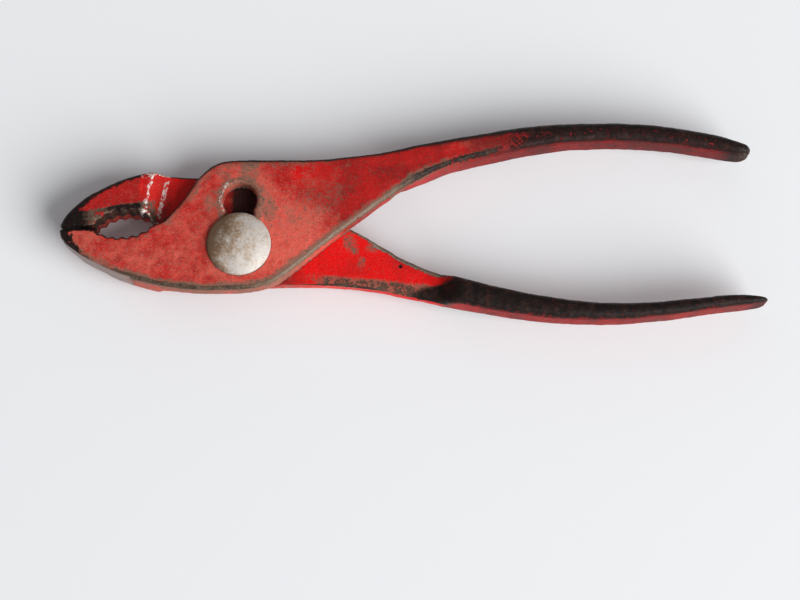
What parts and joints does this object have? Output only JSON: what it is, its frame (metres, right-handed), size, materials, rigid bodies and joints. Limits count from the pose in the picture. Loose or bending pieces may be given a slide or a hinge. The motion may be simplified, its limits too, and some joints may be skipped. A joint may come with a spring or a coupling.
{
  "type": "slip joint pliers",
  "caption": "Slip-joint combination pliers: two forged halves lapped on a domed bolt, with a two-position slot, toothed jaws, a pipe grip and bowed handles.",
  "frame": {"origin": "on the pivot axis, in the outer face of the pivot nut, which is the plane the pliers rest on", "axes": "+X from the pivot towards the handle ends, along the tool's length; +Z along the pivot axis, out of the domed bolt head"},
  "size_m": [0.1658, 0.048, 0.0153],
  "materials": {
    "rear_half": "worn red enamel over dark oxidised forged steel",
    "front_half": "worn red enamel over dark oxidised forged steel",
    "pivot_bolt": "dull, mottled steel",
    "pivot_nut": "dull, mottled steel"
  },
  "bodies": {
    "rear_half": {"rear_half": "rear_half"},
    "pivot": {"pivot_bolt": "pivot_bolt", "pivot_nut": "pivot_nut"},
    "front_half": {"front_half": "front_half"}
  },
  "joints": [
    {"name": "jaw_opening", "type": "hinge", "parent": "rear_half", "child": "pivot", "pos_m": [0, 0, 0], "axis": [0, 0, 1], "range_deg": [0, 47]},
    {"name": "slip", "type": "slide", "parent": "pivot", "child": "front_half", "axis": [0, -1, 0], "range_m": [0, 0.011]}
  ]
}
